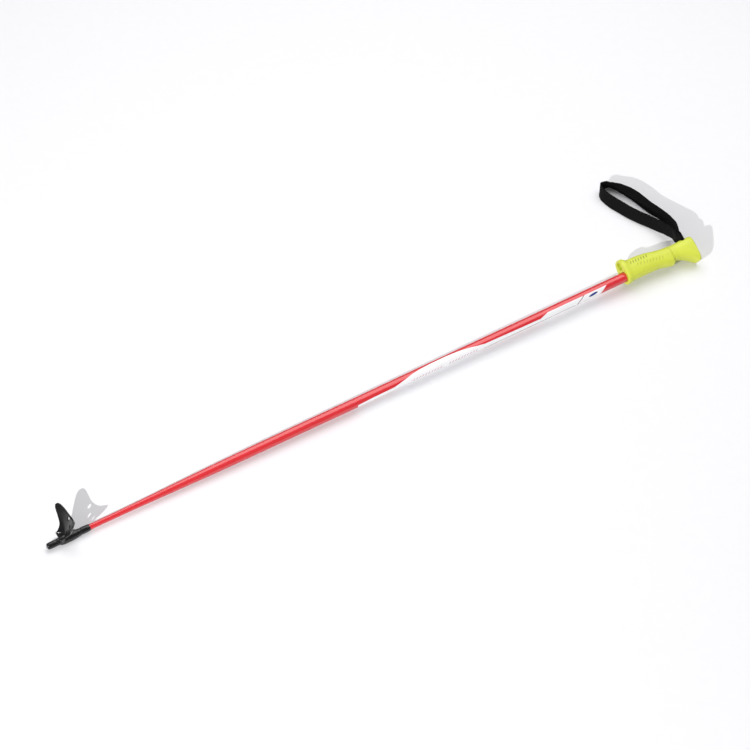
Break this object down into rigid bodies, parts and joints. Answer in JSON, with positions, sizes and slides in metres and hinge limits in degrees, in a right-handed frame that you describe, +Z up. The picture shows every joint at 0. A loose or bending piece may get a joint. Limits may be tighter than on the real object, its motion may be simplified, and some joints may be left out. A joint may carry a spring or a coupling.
{
  "type": "ski pole",
  "caption": "Ski pole with a tapered tube shaft, moulded grip with a hand stop, webbing wrist strap, and a fan-shaped basket to one side above a blunt tip.",
  "frame": {"origin": "middle of the bounding box of the pole as it lies on the floor, at floor height", "axes": "+X along the shaft from tip to grip, +Y the side that the wrist strap lies on, +Z up"},
  "size_m": [1.108, 0.2184, 0.0532],
  "materials": {
    "shaft": "gloss lacquer",
    "grip": "satin moulded",
    "black_plastic": "satin moulded",
    "steel": "ground",
    "webbing": "woven"
  },
  "bodies": {
    "pole": {"shaft_tube": "shaft", "shaft_end_plug": "black_plastic", "ferrule": "black_plastic", "tip_insert": "steel", "grip_body": "grip", "strap_pin": "steel", "strap_fold": "webbing", "basket": "black_plastic"},
    "strap": {"wrist_strap": "webbing"},
    "wedge": {"strap_wedge": "black_plastic"}
  },
  "joints": [
    {"name": "strap_swing", "type": "hinge", "parent": "pole", "child": "strap", "pos_m": [0.5328, -0.06575, 0.03215], "axis": [0.0127, 0.5, -0.8659], "range_deg": [-35, 70]},
    {"name": "wedge_pull", "type": "slide", "parent": "pole", "child": "wedge", "axis": [0.9999, 0, 0.0146], "range_m": [0, 0.012]}
  ]
}
